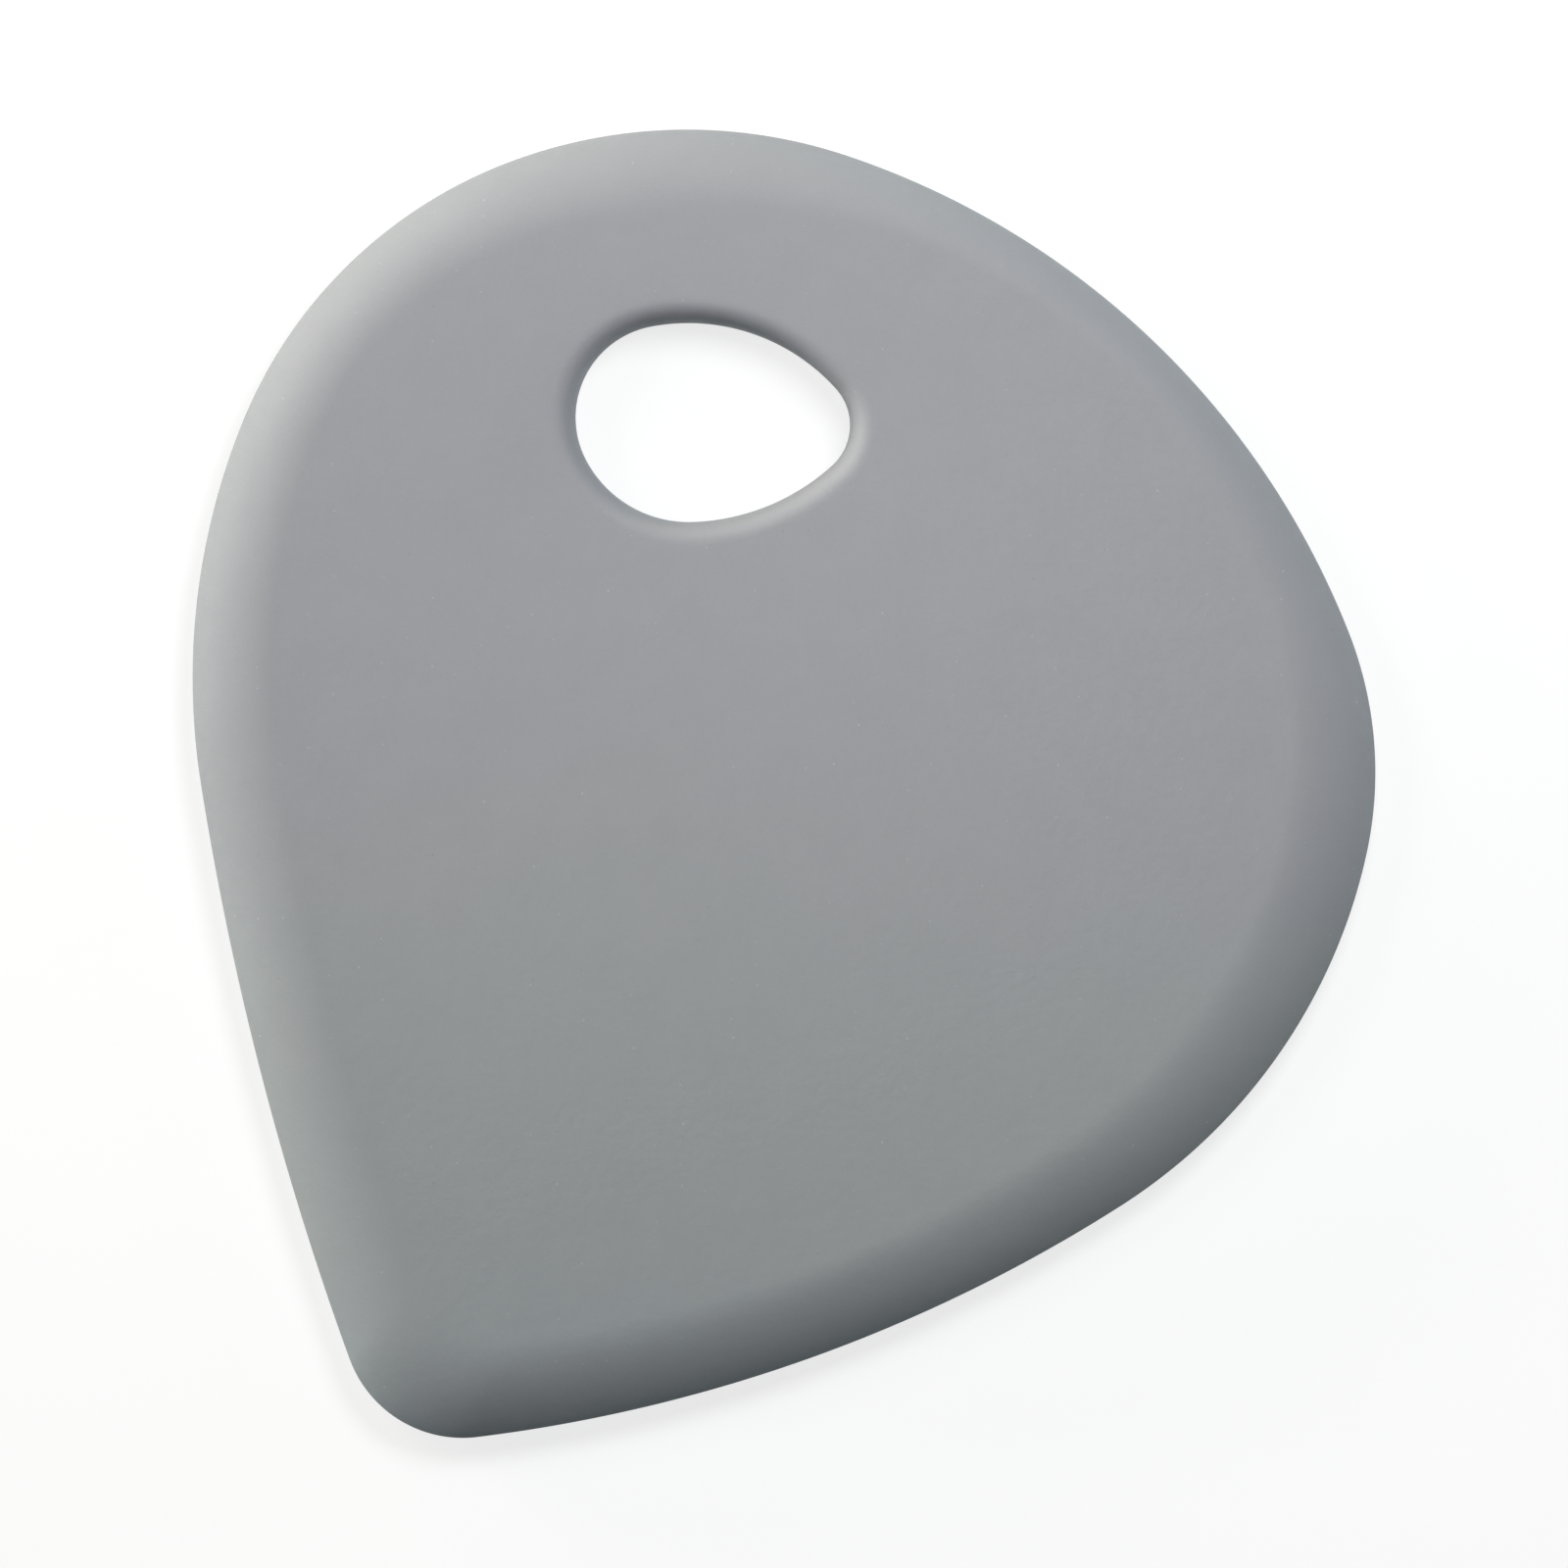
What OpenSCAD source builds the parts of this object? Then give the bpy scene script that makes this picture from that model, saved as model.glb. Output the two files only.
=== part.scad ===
// Bowl scraper: a palm-sized blade of soft silicone, moulded over a stiffening plate.
// It lies on its back face. +Z points out of its front face, +Y runs along its longest extent with
// the finger hole near the upper end, and the origin is the centre of the bottom of its box.
// Its outline, its flat faces and its finger hole are each a closed chain of tangent arcs.
// Lengths are in millimetres and angles in degrees.

/* [Blade outline] */
// Width of the blade, along X
blade_width = 113; // [108:0.5:118]
// Length of the blade, along Y
blade_length = 125; // [120:0.5:130]
// Direction in which the long scraping edge leaves the tip, above +X
edge_heading = 7; // [0:0.5:14]
// Angle that the long edge turns through, up to the heel; its radius follows from the outline's size
edge_turn = 25.5; // [20:0.5:30]
// Radius of the heel, at the lower right
heel_r = 53.5; // [44:0.5:64]
// Angle that the heel turns through
heel_turn = 45; // [38:0.5:52]
// Radius of the right side
side_r = 36.5; // [30:0.5:44]
// Angle that the right side turns through
side_turn = 34; // [28:0.5:40]
// Angle that the brow turns through, at the upper right; its radius follows too
brow_turn = 50; // [44:0.5:56]
// Radius of the crown, at the top
crown_r = 48; // [40:0.5:58]
// Angle that the crown turns through
crown_turn = 39.5; // [32:0.5:46]
// Angle that the temple turns through, at the upper left; its radius follows too
temple_turn = 47; // [40:0.5:54]
// Radius of the cheek, at the left
cheek_r = 65; // [55:0.5:78]
// Angle that the cheek turns through
cheek_turn = 31; // [25:0.5:37]
// Angle that the spine turns through, the nearly straight stretch to the tip; its radius follows too
spine_turn = 11; // [8:0.5:13]
// Radius of the tip, the one tight corner
tip_r = 11.5; // [9:0.1:15]

/* [Blade section] */
// Thickness between the two flat faces
blade_t = 8; // [6:0.5:10]
// Power by which the bevels curve down from a flat face; the higher, the later they fall
bevel_power = 2.2; // [1.8:0.1:3]
// Power by which they close on the rim, from a sharp edge at 1 to a full round at 2
rim_power = 1.2; // [1.1:0.05:2]

/* [Flat faces] */
// Width of the bevel between a flat face and the blade's left end
left_bevel = 7.8; // [6.5:0.1:9.5]
// Width of the bevel between a flat face and the blade's right end
right_bevel = 8.4; // [7:0.1:10.5]
// Width of the bevel between a flat face and the blade's top
top_bevel = 7.6; // [6.5:0.1:9.5]
// Width of the bevel between a flat face and the blade's bottom
bottom_bevel = 9.7; // [8:0.1:11.5]
// How much smaller the flat face's radius is than the blade's, at the heel
heel_draw = 5.5; // [0:0.5:11]
// How much smaller it is at the right side, where it is in fact larger
side_draw = -3; // [-8:0.5:3]
// How much smaller it is at the crown, where it is in fact larger
crown_draw = -5.5; // [-11:0.5:0]
// How much smaller it is at the cheek
cheek_draw = 6.5; // [1:0.5:12]
// How much smaller it is at the tip
tip_draw = 2.5; // [0:0.1:5]

/* [Finger hole] */
// Width of the hole at its narrowest, along X
hole_width = 26.2; // [25:0.1:28]
// Height of the hole at its narrowest, along Y
hole_height = 19; // [18:0.1:20]
// Distance from the left end of the blade to the middle of the hole
hole_from_left = 49.7; // [44:0.1:56]
// Distance from the top of the blade to the middle of the hole
hole_from_top = 28; // [24:0.5:36]
// Direction in which the hole's lower flank sets out, above +X
hole_heading = 2; // [-10:1:15]
// Angle that the lower flank turns through; its radius follows from the hole's size
hole_low_turn = 40; // [34:1:46]
// Radius of the hole's nose, at its narrow right end
hole_nose_r = 5.2; // [4:0.1:6.5]
// Angle that the nose turns through
hole_nose_turn = 90; // [82:1:96]
// Angle that the upper flank turns through; its radius follows too
hole_high_turn = 59; // [52:1:66]
// Angle that the hole's blunt left end turns through; its radius follows too
hole_back_turn = 108; // [98:1:116]
// How far the rounding of the hole's edges reaches over the flat faces
hole_round = 2.4; // [1:0.1:4]
// Power by which the rounding curves down from a flat face; the higher, the later it falls
hole_power = 2.7; // [2:0.1:4]
// Power by which it closes on the hole's narrowest line, where 2 is a full round
hole_wall_power = 2; // [1.5:0.1:3]

/* [Stiffening plate] */
// Thickness of the plate moulded into the silicone
core_t = 2; // [1:0.1:3]
// Distance from the inside of the widest bevel to the plate's edge
core_margin = 4; // [2:0.1:8]
// Radius of the plate's corner behind the tip
core_corner_r = 5; // [2:0.5:10]
// Width of silicone between the finger hole and the plate
hole_web = 4; // [3:0.5:8]
// Diameter of the holes that lock the silicone through the plate
lock_d = 6; // [3:0.5:8]
// Distance between neighbouring lock holes
lock_pitch = 18; // [14:1:26]
// Least width of plate left beside a lock hole
lock_rim = 4; // [2:0.5:8]

/* [Hidden] */

// Facets: longest side and largest turn of one on the blade and on the hole
blade_facet = 3.2;
blade_facet_turn = 4.5;
hole_facet = 1.5;
hole_facet_turn = 6;
// Steps from the rim to a flat face, and from the hole's narrowest line to one
bevel_steps = 11;
hole_steps = 6;
// Facets of a lock hole, and how far a cutter passes the faces that it opens
lock_facets = 32;
overrun = 1;

// The blade's arcs in order, counter-clockwise from the tip's lower end. Four of their radii are
// solved so that the outline closes at its width and length.
EDGE = 0;
BROW = 3;
TEMPLE = 5;
SPINE = 7;
BLADE_SOLVED = [EDGE, BROW, TEMPLE, SPINE];
blade_known_turns = [
    edge_turn, heel_turn, side_turn, brow_turn, crown_turn, temple_turn, cheek_turn, spine_turn
];
blade_turns = concat(blade_known_turns, [360 - total(blade_known_turns)]);
blade_radii = closed_radii(
    [0, heel_r, side_r, 0, crown_r, 0, cheek_r, 0, tip_r],
    blade_turns, edge_heading, BLADE_SOLVED, [blade_width, blade_length]
);
// A flat face turns as the blade does, arc for arc, on radii of its own
draws = [0, heel_draw, side_draw, 0, crown_draw, 0, cheek_draw, 0, tip_draw];
flat_radii = closed_radii(
    blade_radii - draws, blade_turns, edge_heading, BLADE_SOLVED,
    [blade_width - left_bevel - right_bevel, blade_length - top_bevel - bottom_bevel]
);

// The hole's arcs in order, counter-clockwise from the lower flank. All radii but the nose's are
// solved so that the hole closes at its width and height; the base follows the blunt end.
LOW_FLANK = 0;
HIGH_FLANK = 2;
BLUNT_END = 3;
BASE = 4;
HOLE_SOLVED = [LOW_FLANK, HIGH_FLANK, BLUNT_END, BASE];
hole_known_turns = [hole_low_turn, hole_nose_turn, hole_high_turn, hole_back_turn];
hole_turns = concat(hole_known_turns, [360 - total(hole_known_turns)]);
hole_radii = closed_radii(
    [0, hole_nose_r, 0, 0, 0],
    hole_turns, hole_heading, HOLE_SOLVED, [hole_width, hole_height]
);

// Points of the three outlines, and the directions that the blade's rim and the hole's wall face
blade_places = places(blade_radii, blade_turns, blade_facet, blade_facet_turn);
blade_normals = normals(blade_turns, edge_heading, blade_places);
blade_chain = chain(blade_radii, blade_turns, edge_heading, blade_places);
blade_points = moved(blade_chain, -(low_corner(blade_chain) + high_corner(blade_chain)) / 2);
blade_left = low_corner(blade_points).x;
blade_top = high_corner(blade_points).y;

flat_chain = chain(flat_radii, blade_turns, edge_heading, blade_places);
flat_points = moved(flat_chain, [
    blade_left + left_bevel - low_corner(flat_chain).x,
    blade_top - top_bevel - high_corner(flat_chain).y
]);

hole_places = places(hole_radii, hole_turns, hole_facet, hole_facet_turn);
hole_normals = normals(hole_turns, hole_heading, hole_places);
hole_chain = chain(hole_radii, hole_turns, hole_heading, hole_places);
hole_middle = (low_corner(hole_chain) + high_corner(hole_chain)) / 2;
hole_points = moved(hole_chain, [blade_left + hole_from_left, blade_top - hole_from_top] - hole_middle);

half_t = blade_t / 2;
hole_mouth = hole_points + hole_round * hole_normals;
// Width of the bevel all the way round
bevel_widths = [
    for (i = [0:len(blade_points) - 1]) (blade_points[i] - flat_points[i]) * blade_normals[i]
];
core_inset = max(bevel_widths) + core_margin;

// Sum of the first n entries of a list, and of all of them
function sum_of(list, n) = n == 0 ? 0 * list[0] : list[n - 1] + sum_of(list, n - 1);
function total(list) = sum_of(list, len(list));

// Way from start to end of an arc of radius 1 that sets out at a heading and turns left
function unit_way(heading, turn) = [
    sin(heading + turn) - sin(heading),
    cos(heading) - cos(heading + turn)
];

// The same for only the part of the arc that heads between two directions
function part_way(heading, turn, low, high) =
    let (first = max(heading, low), last = min(heading + turn, high))
    last > first ? unit_way(first, last - first) : [0, 0];

// What an arc of radius 1 adds to its chain: its way, its run to the left and its run downwards
function shares(heading, turn) = concat(
    unit_way(heading, turn),
    [
        -part_way(heading, turn, 90, 270).x,
        -part_way(heading, turn, 180, 360).y - part_way(heading, turn, -180, 0).y
    ]
);

// Radii of a closed chain of tangent arcs. The solved ones make its ends meet and its leftward and
// downward runs, which are its width and its height, add up to the size.
function closed_radii(radii, turns, start, solved, size) =
    let (
        last = len(turns) - 1,
        each_share = [for (i = [0:last]) shares(start + sum_of(turns, i), turns[i])],
        known = [for (i = [0:last]) len(search(i, solved)) > 0 ? 0 : radii[i]],
        missing = [0, 0, each size] - known * each_share,
        found = solution([for (i = solved) each_share[i]], missing)
    )
    [for (i = [0:last]) let (k = search(i, solved)) len(k) > 0 ? found[k[0]] : radii[i]];

// Factors that make a sum of vectors reach a target, by Cramer's rule
function solution(vectors, target) = [
    for (k = [0:len(vectors) - 1])
        let (changed = [for (i = [0:len(vectors) - 1]) i == k ? target : vectors[i]])
        determinant(changed) / determinant(vectors)
];
function determinant(rows) = len(rows) == 1 ? rows[0][0] : total([
    for (k = [0:len(rows) - 1]) (k % 2 == 0 ? 1 : -1) * rows[0][k] * determinant(minor(rows, k))
]);
function minor(rows, k) = [
    for (r = [1:len(rows) - 1]) [for (c = [0:len(rows) - 1]) if (c != k) rows[r][c]]
];

// Places along a chain, each as [arc, angle turned since its start]
function places(radii, turns, facet, facet_turn) = [
    for (i = [0:len(turns) - 1])
        let (
            arc_length = radii[i] * turns[i] * PI / 180,
            steps = ceil(max(arc_length / facet, turns[i] / facet_turn))
        )
        for (k = [0:steps - 1]) [i, turns[i] * k / steps]
];

// Ways along the arcs of a chain, each from its own start to its end
function ways_of(radii, turns, start) = [
    for (i = [0:len(turns) - 1]) radii[i] * unit_way(start + sum_of(turns, i), turns[i])
];

// Points of a chain at such places
function chain(radii, turns, start, at) =
    let (ways = ways_of(radii, turns, start))
    [
        for (place = at)
            let (i = place[0], heading = start + sum_of(turns, i))
            sum_of(ways, i) + radii[i] * unit_way(heading, place[1])
    ];

// Unit vectors that point outwards from a chain at such places
function normals(turns, start, at) = [
    for (place = at)
        let (facing = start + sum_of(turns, place[0]) + place[1] - 90)
        [cos(facing), sin(facing)]
];

// Corners of the box round some points, and the points moved sideways
function low_corner(points) = [min([for (p = points) p.x]), min([for (p = points) p.y])];
function high_corner(points) = [max([for (p = points) p.x]), max([for (p = points) p.y])];
function moved(points, way) = [for (p = points) p + way];

// A closed line of points laid at a height
function ring(points, z) = [for (p = points) [each p, z]];
function reversed(list) = [for (i = [len(list) - 1:-1:0]) list[i]];

// Rings from just off the line half way up an edge to the flat face that the edge's rounding meets.
// Each quarter of the section is a superellipse, so it leaves the line upright and lands flat.
function edge_half(line, face, side, steps, face_power, line_power) = [
    for (k = [1:steps])
        let (
            a = 90 * k / steps,
            inward = 1 - cos(a) ^ (2 / face_power),
            upward = sin(a) ^ (2 / line_power)
        )
        ring(line + inward * (face - line), half_t * (1 + side * upward))
];

// Rings over a whole edge, from the lower flat face to the upper one
function edge_rings(line, face, steps, face_power, line_power) = concat(
    reversed(edge_half(line, face, -1, steps, face_power, line_power)),
    [ring(line, half_t)],
    edge_half(line, face, 1, steps, face_power, line_power)
);

// How far a point lies inside the blade's outline, and outside the finger hole
function depth_in_blade(p) = min([
    for (i = [0:len(blade_points) - 1]) (blade_points[i] - p) * blade_normals[i]
]);
function distance_from_hole(p) = max([
    for (i = [0:len(hole_points) - 1]) (p - hole_points[i]) * hole_normals[i]
]);

// Solid through a stack of closed rings with equally many points, flat at both ends
module loft(rings) {
    count = len(rings[0]);
    last = len(rings) - 1;
    sides = [
        for (r = [0:last - 1])
            for (i = [0:count - 1])
                let (
                    a = r * count + i,
                    b = r * count + (i + 1) % count,
                    c = a + count,
                    d = b + count
                )
                for (face = [[a, c, b], [b, c, d]]) face
    ];
    floor_face = [for (i = [0:count - 1]) i];
    roof_face = [for (i = [count - 1:-1:0]) last * count + i];
    polyhedron([for (line = rings) each line], concat(sides, [floor_face, roof_face]));
}

// The blade without its hole: flat faces, bevels that vary in width, and a thin rounded rim
module blank_blade() {
    loft(edge_rings(blade_points, flat_points, bevel_steps, bevel_power, rim_power));
}

// The finger hole's cutter: an egg with fully rounded edges, which passes both faces
module finger_hole() {
    wall = edge_rings(hole_points, hole_mouth, hole_steps, hole_power, hole_wall_power);
    loft(concat([ring(hole_mouth, -overrun)], wall, [ring(hole_mouth, blade_t + overrun)]));
}

// The plate's outline: the blade's own, drawn in, with a clear opening round the finger hole
module core_outline() {
    difference() {
        offset(r = core_corner_r)
            offset(delta = -core_inset - core_corner_r)
                polygon(blade_points);
        polygon(hole_points + hole_web * hole_normals);
    }
}

// Holes through the plate on a square grid, kept clear of its edges
module lock_holes() {
    reach = ceil(max([for (p = blade_points) norm(p)]) / lock_pitch);
    clear = lock_rim + lock_d / 2;
    for (i = [-reach:reach])
        for (j = [-reach:reach])
            let (p = [i, j] * lock_pitch)
            if (depth_in_blade(p) > core_inset + clear && distance_from_hole(p) > hole_web + clear)
                translate([p.x, p.y, half_t - core_t / 2 - overrun])
                    cylinder(h = core_t + 2 * overrun, d = lock_d, $fn = lock_facets);
}

// The stiffening plate, half way between the faces
module core_plate() {
    difference() {
        translate([0, 0, half_t - core_t / 2])
            linear_extrude(core_t)
                core_outline();
        lock_holes();
    }
}

module silicone_body() {
    color("#999a9e")
        difference() {
            blank_blade();
            finger_hole();
            core_plate();
        }
}

module stiffener_core() {
    color("#d9d6cc")
        core_plate();
}

silicone_body();
stiffener_core();
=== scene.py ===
import math

import bpy
import numpy as np
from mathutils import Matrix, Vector


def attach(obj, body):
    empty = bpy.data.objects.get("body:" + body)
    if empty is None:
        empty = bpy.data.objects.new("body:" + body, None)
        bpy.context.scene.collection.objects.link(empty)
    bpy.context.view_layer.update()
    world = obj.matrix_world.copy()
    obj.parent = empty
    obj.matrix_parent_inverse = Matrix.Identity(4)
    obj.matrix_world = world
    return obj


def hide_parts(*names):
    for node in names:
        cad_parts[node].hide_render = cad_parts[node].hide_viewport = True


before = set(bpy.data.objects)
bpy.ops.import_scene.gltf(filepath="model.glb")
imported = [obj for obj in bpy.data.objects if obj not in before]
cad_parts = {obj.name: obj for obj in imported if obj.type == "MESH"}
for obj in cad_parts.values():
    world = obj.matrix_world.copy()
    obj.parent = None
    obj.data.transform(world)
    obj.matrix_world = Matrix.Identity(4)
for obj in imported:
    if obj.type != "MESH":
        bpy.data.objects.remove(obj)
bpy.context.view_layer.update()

# A bowl scraper of soft silicone lies on its back on a pale floor, seen from straight above.
# Lengths are in millimetres, as in the part's source, up to the point where a mesh is made.
MM = 0.001

# Sizes, the same as in the part's source

# Blade outline: radius and turn of each tangent arc, counter-clockwise from the tip's lower end.
# The radii left at 0 are solved from the width and length, and the last turn completes the circle.
BLADE_SIZE = (113, 125)
EDGE_HEADING = 7
BLADE_RADII = [0, 53.5, 36.5, 0, 48, 0, 65, 0, 11.5]
BLADE_TURNS = [25.5, 45, 34, 50, 39.5, 47, 31, 11]
BLADE_SOLVED = [0, 3, 5, 7]

# Flat face: widths of the bevels round it, and how much smaller its radii are than the blade's
LEFT_BEVEL = 7.8
RIGHT_BEVEL = 8.4
TOP_BEVEL = 7.6
BOTTOM_BEVEL = 9.7
FLAT_DRAWS = [0, 5.5, -3, 0, -5.5, 0, 6.5, 0, 2.5]

# Blade section: half its thickness, and the powers of its bevels at a flat face and at the rim
HALF_T = 4
BEVEL_POWER = 2.2
RIM_POWER = 1.2

# Finger hole
HOLE_SIZE = (26.2, 19)
HOLE_HEADING = 2
HOLE_RADII = [0, 5.2, 0, 0, 0]
HOLE_TURNS = [40, 90, 59, 108]
HOLE_SOLVED = [0, 2, 3, 4]
HOLE_FROM_LEFT = 49.7
HOLE_FROM_TOP = 28
HOLE_ROUND = 2.4
HOLE_POWER = 2.7
HOLE_WALL_POWER = 2

# Parting line, where the two halves of the mould met: how far it stands out and half its width
LINE_RISE = 0.04
LINE_HALF = 0.08

# Closed chains of tangent arcs


def unit_way(heading, turn):
    """Way from start to end of an arc of radius 1 that sets out at a heading and turns left."""
    h = math.radians(heading)
    t = math.radians(heading + turn)
    return np.array([math.sin(t) - math.sin(h), math.cos(h) - math.cos(t)])


def part_way(heading, turn, low, high):
    """The same for only the part of the arc that heads between two directions."""
    first = max(heading, low)
    last = min(heading + turn, high)
    return unit_way(first, last - first) if last > first else np.zeros(2)


def shares(heading, turn):
    """What an arc of radius 1 adds to its chain: its way, its run to the left and its run downwards."""
    left = -part_way(heading, turn, 90, 270)[0]
    down = -part_way(heading, turn, 180, 360)[1] - part_way(heading, turn, -180, 0)[1]
    return np.array([*unit_way(heading, turn), left, down])


def headings_of(turns, start):
    """Heading at which each arc sets out."""
    return start + np.concatenate([[0], np.cumsum(turns)[:-1]])


def closed_radii(radii, turns, start, solved, size):
    """Radii of a closed chain, the solved ones from its width and height."""
    columns = np.array([shares(h, t) for h, t in zip(headings_of(turns, start), turns)])
    found = np.array(radii, float)
    found[solved] = 0
    missing = np.array([0, 0, *size]) - found @ columns
    found[solved] = np.linalg.solve(columns[solved].T, missing)
    return found


def places_along(radii, turns, spacing, turn_step):
    """Places along a chain, each as (arc, angle turned since its start)."""
    found = []
    for i, (radius, turn) in enumerate(zip(radii, turns)):
        steps = math.ceil(max(radius * math.radians(turn) / spacing, turn / turn_step))
        found += [(i, turn * k / steps) for k in range(steps)]
    return found


def chain(radii, turns, start, places):
    """Points of a chain at such places, and unit vectors that point outwards there."""
    headings = headings_of(turns, start)
    ways = [r * unit_way(h, t) for r, h, t in zip(radii, headings, turns)]
    starts = [sum(ways[:i], np.zeros(2)) for i in range(len(turns))]
    points = [starts[i] + radii[i] * unit_way(headings[i], t) for i, t in places]
    facing = np.radians([headings[i] + t - 90 for i, t in places])
    return np.array(points), np.column_stack([np.cos(facing), np.sin(facing)])


# Distance and angle between neighbouring points of the fine outlines
BLADE_SPACING = 0.9
HOLE_SPACING = 0.5
TURN_STEP = 2.0

blade_turns = BLADE_TURNS + [360 - sum(BLADE_TURNS)]
blade_radii = closed_radii(BLADE_RADII, blade_turns, EDGE_HEADING, BLADE_SOLVED, BLADE_SIZE)
flat_size = (BLADE_SIZE[0] - LEFT_BEVEL - RIGHT_BEVEL, BLADE_SIZE[1] - TOP_BEVEL - BOTTOM_BEVEL)
flat_radii = closed_radii(
    blade_radii - FLAT_DRAWS, blade_turns, EDGE_HEADING, BLADE_SOLVED, flat_size
)
hole_turns = HOLE_TURNS + [360 - sum(HOLE_TURNS)]
hole_radii = closed_radii(HOLE_RADII, hole_turns, HOLE_HEADING, HOLE_SOLVED, HOLE_SIZE)

blade_places = places_along(blade_radii, blade_turns, BLADE_SPACING, TURN_STEP)
blade_points, blade_normals = chain(blade_radii, blade_turns, EDGE_HEADING, blade_places)
blade_points -= (blade_points.min(axis=0) + blade_points.max(axis=0)) / 2
blade_left = blade_points[:, 0].min()
blade_top = blade_points[:, 1].max()

flat_points, _ = chain(flat_radii, blade_turns, EDGE_HEADING, blade_places)
flat_points += [
    blade_left + LEFT_BEVEL - flat_points[:, 0].min(),
    blade_top - TOP_BEVEL - flat_points[:, 1].max(),
]

hole_places = places_along(hole_radii, hole_turns, HOLE_SPACING, TURN_STEP)
hole_points, hole_normals = chain(hole_radii, hole_turns, HOLE_HEADING, hole_places)
hole_points -= (hole_points.min(axis=0) + hole_points.max(axis=0)) / 2
hole_points += [blade_left + HOLE_FROM_LEFT, blade_top - HOLE_FROM_TOP]

# The silicone body

BEVEL_STEPS = 28
HOLE_STEPS = 14
# Shares of the parting line's half width at which the skin has a ring of its own
LINE_SHARES = (0.5, 1.0, 1.6)
# How far the skin stays inside the part's own surface at the rim
RIM_SLACK = 0.004
# How fast wear and its painted highlight fade away from the rim, and how strong they are at the finger
# hole and fade there
RIM_WEAR_AND_HIGHLIGHT_FALL = 4
HOLE_WEAR_AND_HIGHLIGHT = 0.5
HOLE_WEAR_AND_HIGHLIGHT_FALL = 2


def line_height(distance):
    """How far the parting line stands out at a distance from the middle of the rim."""
    return LINE_RISE * max(0.0, 1 - abs(distance) / LINE_HALF)


def level(points, z):
    """A closed line of points laid at a height."""
    return np.column_stack([points, np.full(len(points), z)])


def rounding(angle, face_power, line_power):
    """Shares of its reach inwards and of its rise at which a rounding is, at an angle of its turn."""
    inward = 1 - max(math.cos(angle), 0) ** (2 / face_power)
    return inward, math.sin(angle) ** (2 / line_power)


def rim_rings():
    """Rings from the lower flat face over the rim to the upper one, each with its share of wear and
    painted highlight.
    """
    heights = [share * LINE_HALF / HALF_T for share in LINE_SHARES]
    angles = [math.asin(height ** (RIM_POWER / 2)) for height in heights]
    first = angles[-1]
    angles += [first + (math.pi / 2 - first) * k / BEVEL_STEPS for k in range(1, BEVEL_STEPS + 1)]
    upper = []
    for angle in angles:
        inward, rise = rounding(angle, BEVEL_POWER, RIM_POWER)
        height = HALF_T * rise
        sunk = RIM_SLACK + (LINE_RISE - line_height(height)) * (1 - inward) ** 2
        points = blade_points + inward * (flat_points - blade_points) - sunk * blade_normals
        upper.append((points, height, (1 - inward) ** RIM_WEAR_AND_HIGHLIGHT_FALL))
    lower = [(points, -height, wear_and_highlight) for points, height, wear_and_highlight in reversed(upper)]
    middle = (blade_points - RIM_SLACK * blade_normals, 0.0, 1.0)
    rings = lower + [middle] + upper
    return [(level(points, HALF_T + height), wear_and_highlight) for points, height, wear_and_highlight in rings]


def hole_rings():
    """Rings through the finger hole, from the upper flat face down to the lower one."""
    rings = []
    for k in range(HOLE_STEPS, -HOLE_STEPS - 1, -1):
        inward, rise = rounding(math.pi / 2 * abs(k) / HOLE_STEPS, HOLE_POWER, HOLE_WALL_POWER)
        points = hole_points + inward * HOLE_ROUND * hole_normals
        height = HALF_T * math.copysign(rise, k)
        edge_wear_and_highlight = HOLE_WEAR_AND_HIGHLIGHT * (1 - inward) ** HOLE_WEAR_AND_HIGHLIGHT_FALL
        rings.append((level(points, HALF_T + height), edge_wear_and_highlight))
    return rings


class Skin:
    """Vertices, faces and the wear and painted highlight of a mesh while it is put together."""

    def __init__(self):
        self.vertices = []
        self.faces = []
        self.wear_and_highlight = []

    def ring(self, points, wear_and_highlight):
        """Adds a ring of vertices and gives their numbers."""
        first = len(self.vertices)
        self.vertices += [tuple(p * MM) for p in points]
        self.wear_and_highlight += [wear_and_highlight] * len(points)
        return list(range(first, first + len(points)))

    def band(self, lower, upper):
        """Joins two rings with equally many vertices."""
        count = len(lower)
        for i in range(count):
            j = (i + 1) % count
            self.faces.append((lower[i], lower[j], upper[j], upper[i]))

    def plain(self, outer, inner, middle, up):
        """Fills the flat face between an outer and an inner ring, both seen round a middle point."""

        def turned(ring):
            angles = [
                math.atan2(self.vertices[v][1] / MM - middle[1], self.vertices[v][0] / MM - middle[0])
                for v in ring
            ]
            first = int(np.argmin(angles))
            ring = ring[first:] + ring[:first]
            angles = angles[first:] + angles[:first]
            return ring + [ring[0]], angles + [angles[0] + 2 * math.pi]

        outer, outer_angles = turned(outer)
        inner, inner_angles = turned(inner)
        i = j = 0
        while i < len(outer) - 1 or j < len(inner) - 1:
            step_out = j == len(inner) - 1 or (
                i < len(outer) - 1 and outer_angles[i + 1] <= inner_angles[j + 1]
            )
            if step_out:
                face = (outer[i], outer[i + 1], inner[j])
                i += 1
            else:
                face = (outer[i], inner[j + 1], inner[j])
                j += 1
            self.faces.append(face if up else face[::-1])


skin = Skin()
rim = [skin.ring(points, wear_and_highlight) for points, wear_and_highlight in rim_rings()]
wall = [skin.ring(points, wear_and_highlight) for points, wear_and_highlight in hole_rings()]
for lower_ring, upper_ring in zip(rim, rim[1:]):
    skin.band(lower_ring, upper_ring)
for upper_ring, lower_ring in zip(wall, wall[1:]):
    skin.band(upper_ring, lower_ring)
hole_middle = hole_points.mean(axis=0)
skin.plain(rim[-1], wall[0], hole_middle, up=True)
skin.plain(rim[0], wall[-1], hole_middle, up=False)

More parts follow.
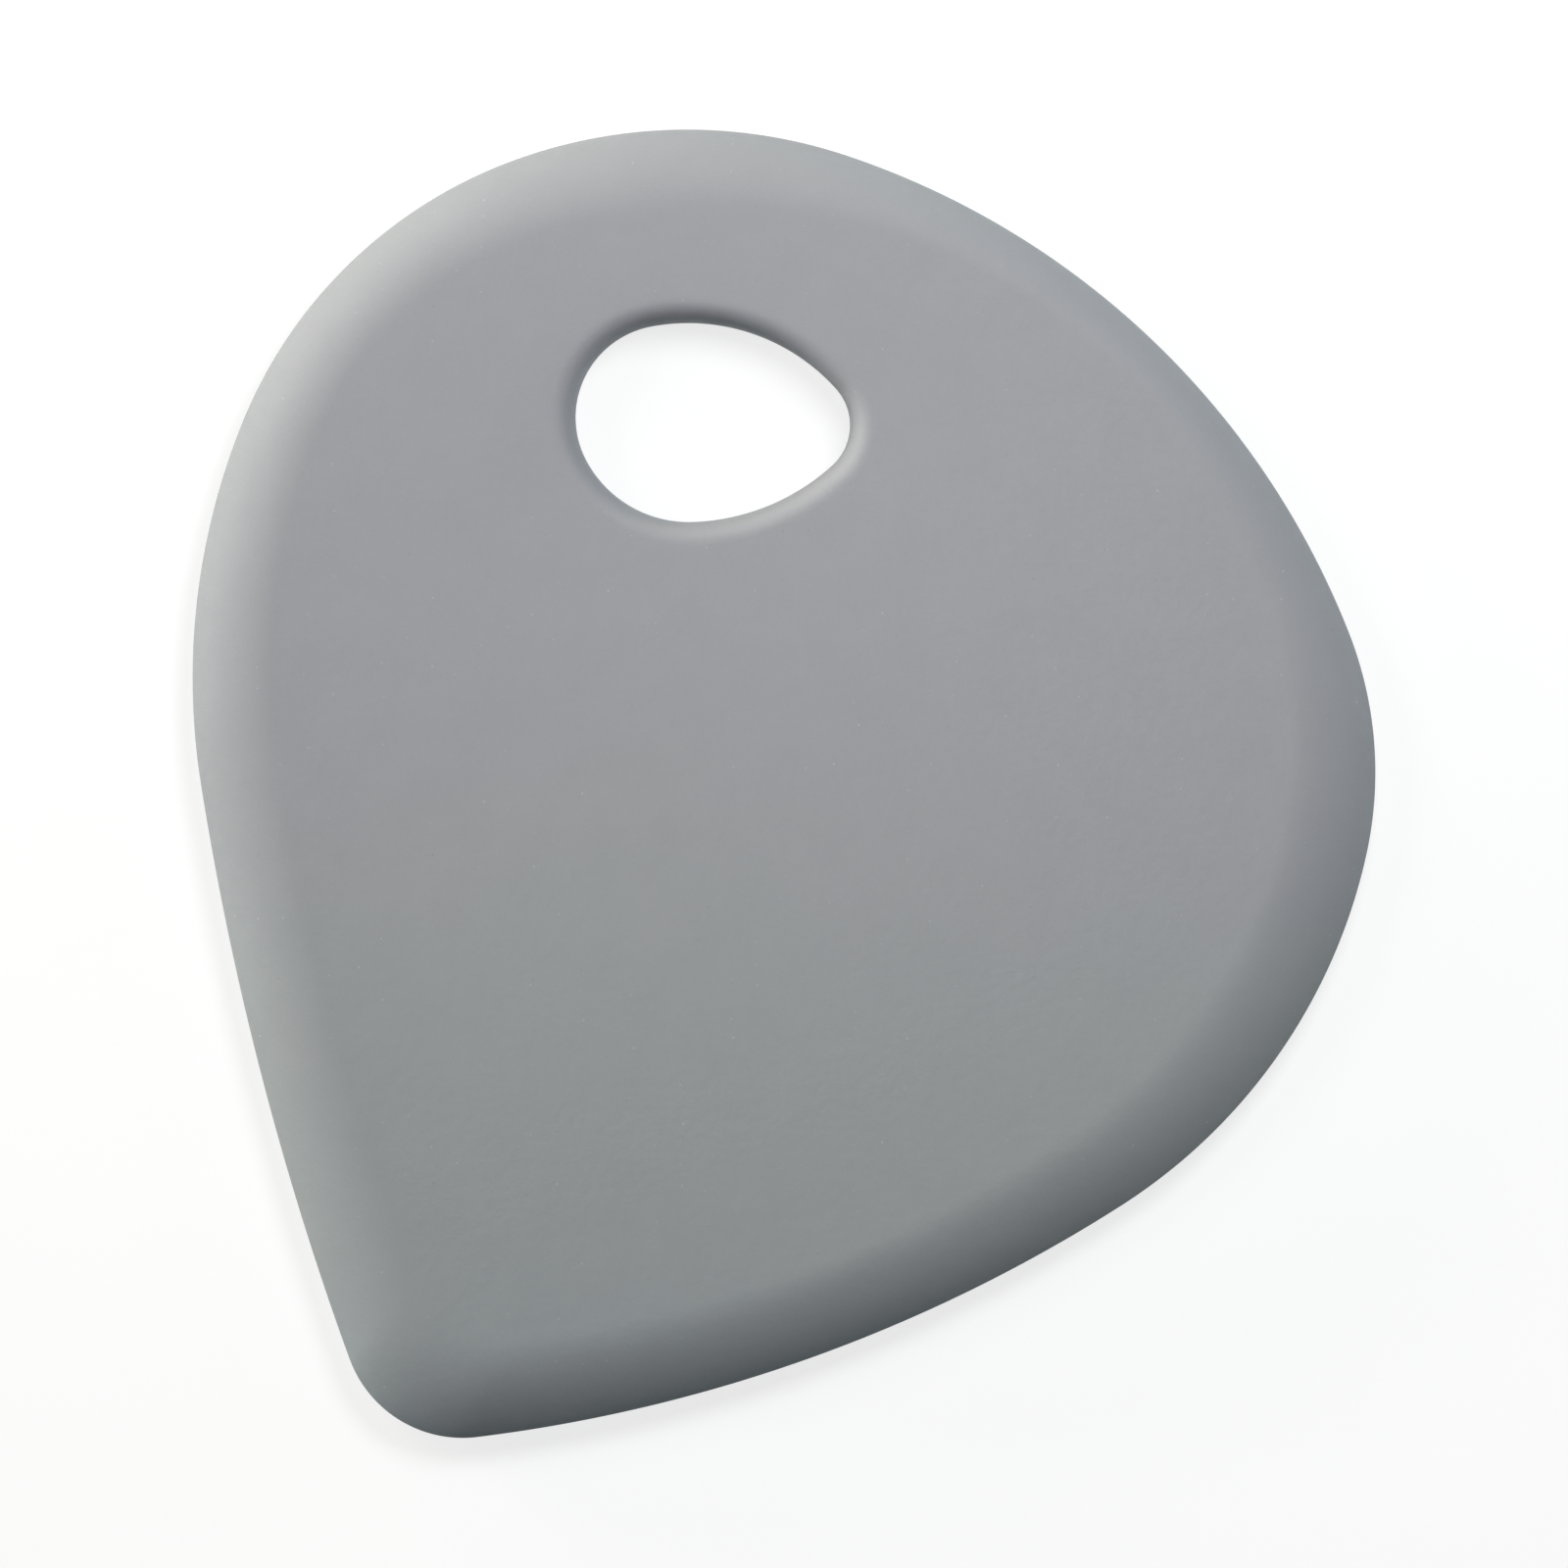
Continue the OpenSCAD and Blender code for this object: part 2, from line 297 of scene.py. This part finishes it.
mesh = bpy.data.meshes.new("silicone_skin")
mesh.from_pydata(skin.vertices, [], skin.faces)
mesh.validate()
mesh.shade_smooth()
# Mask of wear and painted highlight along the rim and the finger hole's edge
highlight_and_wear_attribute = mesh.attributes.new("wear_and_highlight", "FLOAT", "POINT")
highlight_and_wear_attribute.data.foreach_set("value", skin.wear_and_highlight)
body = bpy.data.objects.new("silicone_skin", mesh)
bpy.context.scene.collection.objects.link(body)
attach(body, "root")
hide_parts("silicone_body")

# Materials

# Most of a noise texture's values lie between these, so they are stretched from here
NOISE_LOW = 0.3
NOISE_HIGH = 0.7

# Sockets that a mix node has for colours
MIX_SHARE = 0
MIX_FIRST = 6
MIX_SECOND = 7
MIX_RESULT = 2


class Shading:
    """A material's or world's node tree, emptied down to its output, with short ways to add to it."""

    def __init__(self, owner, output):
        owner.use_nodes = True
        self.tree = owner.node_tree
        self.tree.nodes.clear()
        self.output = self.tree.nodes.new(output)

    def node(self, kind, inputs=None, **settings):
        """Adds a node; inputs are values or other nodes' outputs."""
        made = self.tree.nodes.new(kind)
        for name, value in settings.items():
            setattr(made, name, value)
        for name, value in (inputs or {}).items():
            self.set(made.inputs[name], value)
        return made

    def set(self, socket, value):
        """Links an output into a socket, or gives the socket a value."""
        if isinstance(value, bpy.types.NodeSocket):
            self.tree.links.new(value, socket)
        else:
            socket.default_value = value

    def math(self, operation, first, second=0.0, clamp=False):
        """A sum, product or other result of two numbers."""
        return self.node(
            "ShaderNodeMath", {0: first, 1: second}, operation=operation, use_clamp=clamp
        ).outputs[0]

    def mix(self, share, first, second, blend="MIX"):
        """A colour between two colours."""
        made = self.node("ShaderNodeMix", data_type="RGBA", blend_type=blend)
        self.set(made.inputs[MIX_SHARE], share)
        self.set(made.inputs[MIX_FIRST], first)
        self.set(made.inputs[MIX_SECOND], second)
        return made.outputs[MIX_RESULT]

    def noise(self, place, scale, detail, roughness=0.5):
        """Smooth noise about 0.5; the scale is in features to the metre."""
        return self.node(
            "ShaderNodeTexNoise",
            {"Vector": place, "Scale": scale, "Detail": detail, "Roughness": roughness},
        ).outputs["Fac"]

    def ramp(self, value, stops):
        """A colour that changes with a number through stops, each (number, colour)."""
        first = stops[0][0]
        last = stops[-1][0]
        made = self.node("ShaderNodeValToRGB", {"Fac": self.between(value, first, last, 0, 1)})
        elements = made.color_ramp.elements
        while len(elements) < len(stops):
            elements.new(1.0)
        for element, (number, colour) in zip(elements, stops):
            element.position = (number - first) / (last - first)
            element.color = colour
        return made.outputs["Color"]

    def bump(self, height, strength, distance, under=None):
        """A normal that follows a height; the distance is in metres, and another bump may lie under it."""
        inputs = {"Height": height, "Strength": strength, "Distance": distance}
        if under is not None:
            inputs["Normal"] = under
        return self.node("ShaderNodeBump", inputs).outputs["Normal"]

    def between(self, value, low, high, start, end):
        """A number carried from one range over to another and held at its ends."""
        return self.node(
            "ShaderNodeMapRange",
            {"Value": value, "From Min": low, "From Max": high, "To Min": start, "To Max": end},
        ).outputs["Result"]

    def swing(self, noise, span):
        """The usual values of a noise carried over to a span."""
        return self.between(noise, NOISE_LOW, NOISE_HIGH, *span)


def bright_background(shading):
    """1 where the camera, a reflection or a view through glass looks, and 0 for the light itself."""
    path = shading.node("ShaderNodeLightPath").outputs
    seen = shading.math("ADD", path["Is Camera Ray"], path["Is Glossy Ray"], clamp=True)
    return shading.math("ADD", seen, path["Is Transmission Ray"], clamp=True)


# Painted shade: tints along the part's length that turn the silicone darker and greener towards its
# lower end. Where each lies, in metres from the part's middle towards the finger hole, and its colour
PAINTED_SHADE_TINTS = [
    (-0.052, (0.284, 0.305, 0.319, 1)),
    (-0.034, (0.296, 0.307, 0.3155, 1)),
    (-0.020, (0.296, 0.308, 0.318, 1)),
    (0.004, (0.3045, 0.3065, 0.3265, 1)),
]
# How far noise shifts the tints to and fro
TINT_WANDER = 0.008
# Tints of a rubbed edge, partly wear and partly a painted highlight along the rim and the hole's edge, and
# of dust
RUBBED_HIGHLIGHT_TINT = (0.46, 0.47, 0.475, 1)
PALE_SPECK = (0.60, 0.61, 0.62, 1)
DARK_SPECK = (0.15, 0.155, 0.16, 1)

# Features to the metre in the silicone's textures, from the broadest to the finest
WANDER_SCALE = 60
RIPPLE_SCALE = 120
BLOTCH_SCALE = 220
SPECK_SCALE = 420
SCUFF_SCALE = 500
MATTE_SCALE = 900
DIMPLE_SCALE = 1100
GRAIN_SCALE = 3200

# Least and greatest factor that blotches and grain put on the tint
BLOTCH_SPAN = (0.988, 1.012)
GRAIN_SPAN = (0.985, 1.015)
# Share of the rubbed tint, partly wear and partly painted highlight, on a fully worn edge, and the noise
# value at which a scuff starts
SCUFF_SPAN = (0.02, 0.12)
SCUFF_START = 0.35
# Of the speck cells, the draw above which one holds a speck and the draw above which it is pale,
# the greatest radius of a speck in cells, and how much of its tint it shows
SPECK_DRAW = 0.5
PALE_DRAW = 0.25
SPECK_RADIUS = 0.045
SPECK_SPAN = (0.06, 0.28)
# Roughness, and how much smoother a fully worn edge is
MATTE_SPAN = (0.56, 0.66)
WORN_SMOOTHER = 0.06
# Strength and height in metres of each bump
RIPPLE_BUMP = (0.25, 0.0002)
DIMPLE_BUMP = (0.5, 0.00005)
GRAIN_BUMP = (0.3, 0.00003)


def silicone_material():
    """Matte moulded silicone: a fine blasted grain, a faint drift of tint with a painted shade that
    darkens and greens it towards the lower end, dust, and a rubbed rim that is partly a painted highlight.
    """
    material = bpy.data.materials.new("matte_silicone")
    shading = Shading(material, "ShaderNodeOutputMaterial")
    place = shading.node("ShaderNodeTexCoord").outputs["Object"]
    edge_wear_and_highlight = shading.node("ShaderNodeAttribute", attribute_name="wear_and_highlight").outputs["Fac"]

    along = shading.node("ShaderNodeSeparateXYZ", {"Vector": place}).outputs["Y"]
    wander = shading.swing(shading.noise(place, WANDER_SCALE, 4), (-TINT_WANDER, TINT_WANDER))
    # Painted shade: the tint turns darker and greener towards the lower end of the blade
    colour = shading.ramp(shading.math("ADD", along, wander), PAINTED_SHADE_TINTS)
    blotches = shading.swing(shading.noise(place, BLOTCH_SCALE, 4), BLOTCH_SPAN)
    grain = shading.noise(place, GRAIN_SCALE, 3, 0.6)
    mottle = shading.math("MULTIPLY", blotches, shading.swing(grain, GRAIN_SPAN))
    colour = shading.mix(1.0, colour, mottle, "MULTIPLY")
    scuffs = shading.noise(place, SCUFF_SCALE, 4)
    scuffs = shading.between(scuffs, SCUFF_START, NOISE_HIGH, *SCUFF_SPAN)
    # Rubbed edges: partly wear, partly a painted highlight that lightens the rim and the hole's edge
    colour = shading.mix(shading.math("MULTIPLY", edge_wear_and_highlight, scuffs), colour, RUBBED_HIGHLIGHT_TINT)

    specks = shading.node(
        "ShaderNodeTexVoronoi",
        {"Vector": place, "Scale": SPECK_SCALE},
        voronoi_dimensions="2D",
        feature="F1",
    )
    draws = shading.node("ShaderNodeSeparateColor", {"Color": specks.outputs["Color"]}).outputs
    size = shading.between(draws[0], SPECK_DRAW, 1.0, 0.0, SPECK_RADIUS)
    there = shading.math("LESS_THAN", specks.outputs["Distance"], size)
    there = shading.math("MULTIPLY", there, shading.between(draws[2], 0, 1, *SPECK_SPAN))
    pale = shading.math("GREATER_THAN", draws[1], PALE_DRAW)
    colour = shading.mix(there, colour, shading.mix(pale, DARK_SPECK, PALE_SPECK))

    roughness = shading.swing(shading.noise(place, MATTE_SCALE, 3), MATTE_SPAN)
    roughness = shading.math("SUBTRACT", roughness, shading.math("MULTIPLY", edge_wear_and_highlight, WORN_SMOOTHER))
    ripple = shading.bump(shading.noise(place, RIPPLE_SCALE, 3), *RIPPLE_BUMP)
    dimples = shading.bump(shading.noise(place, DIMPLE_SCALE, 2), *DIMPLE_BUMP, ripple)
    shader = shading.node(
        "ShaderNodeBsdfPrincipled",
        {
            "Base Color": colour,
            "Roughness": roughness,
            "Normal": shading.bump(grain, *GRAIN_BUMP, dimples),
            "IOR": 1.41,
            "Specular IOR Level": 0.25,
            "Sheen Weight": 0.04,
            "Sheen Roughness": 0.4,
        },
    )
    shading.set(shading.output.inputs["Surface"], shader.outputs["BSDF"])
    return material


# The plate's nylon: its two tints, the features to the metre of its textures, the least and greatest
# factor that flow marks and pits put on the tint, its roughness, and its bump as above
NYLON_TINTS = ((0.63, 0.605, 0.54, 1), (0.69, 0.67, 0.61, 1))
FLOW_SCALE = 30
CLOUD_SCALE = 90
POLISH_SCALE = 400
PIT_SCALE = 1800
FLOW_SPAN = (0.97, 1.0)
PIT_SPAN = (0.96, 1.0)
POLISH_SPAN = (0.42, 0.58)
PIT_BUMP = (0.4, 0.00005)


def core_material():
    """Natural nylon of the plate inside: cream, cloudy, with faint flow marks and a spark-eroded face."""
    material = bpy.data.materials.new("natural_nylon")
    shading = Shading(material, "ShaderNodeOutputMaterial")
    place = shading.node("ShaderNodeTexCoord").outputs["Object"]
    flow = shading.node(
        "ShaderNodeTexWave",
        {"Vector": place, "Scale": FLOW_SCALE, "Distortion": 7, "Detail": 3, "Detail Scale": 2},
        wave_type="RINGS",
        rings_direction="Z",
    ).outputs["Fac"]
    clouds = shading.swing(shading.noise(place, CLOUD_SCALE, 4), (0, 1))
    colour = shading.mix(clouds, *NYLON_TINTS)
    colour = shading.mix(1.0, colour, shading.between(flow, 0, 1, *FLOW_SPAN), "MULTIPLY")
    pits = shading.noise(place, PIT_SCALE, 4, 0.6)
    colour = shading.mix(1.0, colour, shading.swing(pits, PIT_SPAN), "MULTIPLY")
    shader = shading.node(
        "ShaderNodeBsdfPrincipled",
        {
            "Base Color": colour,
            "Roughness": shading.swing(shading.noise(place, POLISH_SCALE, 3), POLISH_SPAN),
            "Normal": shading.bump(pits, *PIT_BUMP),
            "IOR": 1.53,
        },
    )
    shading.set(shading.output.inputs["Surface"], shader.outputs["BSDF"])
    return material


body.data.materials.append(silicone_material())
nylon = core_material()
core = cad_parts["stiffener_core"]
for slot in core.material_slots:
    slot.material = nylon

# Floor, light and camera

# Half the floor's width, in metres
FLOOR_REACH = 3.0
floor_corners = [(-1, -1), (1, -1), (1, 1), (-1, 1)]
floor_mesh = bpy.data.meshes.new("floor")
floor_points = [(x * FLOOR_REACH, y * FLOOR_REACH, 0) for x, y in floor_corners]
floor_mesh.from_pydata(floor_points, [], [(0, 1, 2, 3)])
floor = bpy.data.objects.new("floor", floor_mesh)
bpy.context.scene.collection.objects.link(floor)

# The floor's share of lit surface, which shows the shadow, and of plain white, as the camera sees
# them, and its colour as a thing that throws light back at the object
FLOOR_LIT = 0.24
FLOOR_WHITE = 0.785
FLOOR_BOUNCE = (0.70, 0.83, 0.86, 1)
# Features to the metre of the floor's mottle, and its darkest factor
FLOOR_SCALE = 60
FLOOR_MOTTLE = 0.98


def floor_material():
    """A white floor whose lit share still shows the object's shadow."""
    material = bpy.data.materials.new("pale_floor")
    shading = Shading(material, "ShaderNodeOutputMaterial")
    place = shading.node("ShaderNodeTexCoord").outputs["Object"]
    mottle = shading.noise(place, FLOOR_SCALE, 3)
    mottle = shading.swing(mottle, (FLOOR_LIT * FLOOR_MOTTLE, FLOOR_LIT))
    seen = bright_background(shading)
    paint = shading.mix(seen, FLOOR_BOUNCE, mottle)
    lit = shading.node("ShaderNodeBsdfDiffuse", {"Color": paint}).outputs["BSDF"]
    strength = shading.math("MULTIPLY", seen, FLOOR_WHITE)
    white = shading.node("ShaderNodeEmission", {"Strength": strength}).outputs["Emission"]
    both = shading.node("ShaderNodeAddShader", {0: lit, 1: white})
    shading.set(shading.output.inputs["Surface"], both.outputs["Shader"])
    return material


floor_mesh.materials.append(floor_material())

# Soft round lamps aimed at the middle of the part: azimuth and elevation in degrees, distance and
# width in metres, power in watts, and colour
LIGHTS = {
    "key": (60, 62, 0.35, 0.15, 0.89, (0.965, 0.98, 1.0)),
    "left_fill": (150, 45, 0.35, 0.15, 0.303, (1.0, 0.975, 0.95)),
    "left_rim": (150, 10, 0.9, 0.25, 4.2, (0.98, 0.95, 0.78)),
    "upper_rim": (120, 10, 0.9, 0.25, 1.9, (0.97, 0.95, 0.76)),
    "left_edge": (180, 4, 1.8, 0.2, 14.2, (0.92, 0.965, 1.0)),
    "right_edge": (30, 20, 0.9, 0.25, 0.84, (0.78, 1.0, 0.96)),
}

for name, (azimuth, elevation, distance, width, power, colour) in LIGHTS.items():
    lamp = bpy.data.lights.new(name, "AREA")
    lamp.shape = "DISK"
    lamp.size = width
    lamp.energy = power
    lamp.color = colour
    around = math.radians(azimuth)
    level_share = math.cos(math.radians(elevation))
    rise_share = math.sin(math.radians(elevation))
    way = Vector((math.cos(around) * level_share, math.sin(around) * level_share, rise_share))
    holder = bpy.data.objects.new(name, lamp)
    holder.location = way * distance
    holder.rotation_mode = "QUATERNION"
    holder.rotation_quaternion = way.to_track_quat("Z", "Y")
    bpy.context.scene.collection.objects.link(holder)

world = bpy.data.worlds.new("studio")
bpy.context.scene.world = world
shading = Shading(world, "ShaderNodeOutputWorld")
background = shading.node(
    "ShaderNodeBackground", {"Color": (1, 1, 1, 1), "Strength": bright_background(shading)}
)
shading.set(shading.output.inputs["Surface"], background.outputs["Background"])

# Width of the photo and edges of the scraper in it, in its pixels, from which the camera is placed
PHOTO_PIXELS = 1600
SILHOUETTE_LEFT = 196.5
SILHOUETTE_RIGHT = 1403.5
SILHOUETTE_TOP = 133
SILHOUETTE_BOTTOM = 1466.5
# Focal length and sensor width in millimetres, and how many camera distances it sees
LENS = 400
SENSOR = 36
CLIP_REACH = 10
camera_data = bpy.data.cameras.new("camera")
camera_data.lens = LENS
camera_data.sensor_width = SENSOR
camera = bpy.data.objects.new("camera", camera_data)
blade_width = blade_points[:, 0].max() - blade_points[:, 0].min()
pixel = blade_width * MM / (SILHOUETTE_RIGHT - SILHOUETTE_LEFT)
view_width = pixel * PHOTO_PIXELS
camera_distance = view_width * LENS / SENSOR
camera.location = (
    (PHOTO_PIXELS / 2 - (SILHOUETTE_LEFT + SILHOUETTE_RIGHT) / 2) * pixel,
    ((SILHOUETTE_TOP + SILHOUETTE_BOTTOM) / 2 - PHOTO_PIXELS / 2) * pixel,
    HALF_T * MM + camera_distance,
)
camera_data.clip_end = CLIP_REACH * camera_distance
bpy.context.scene.collection.objects.link(camera)
bpy.context.scene.camera = camera
bpy.context.scene.view_settings.view_transform = "Standard"
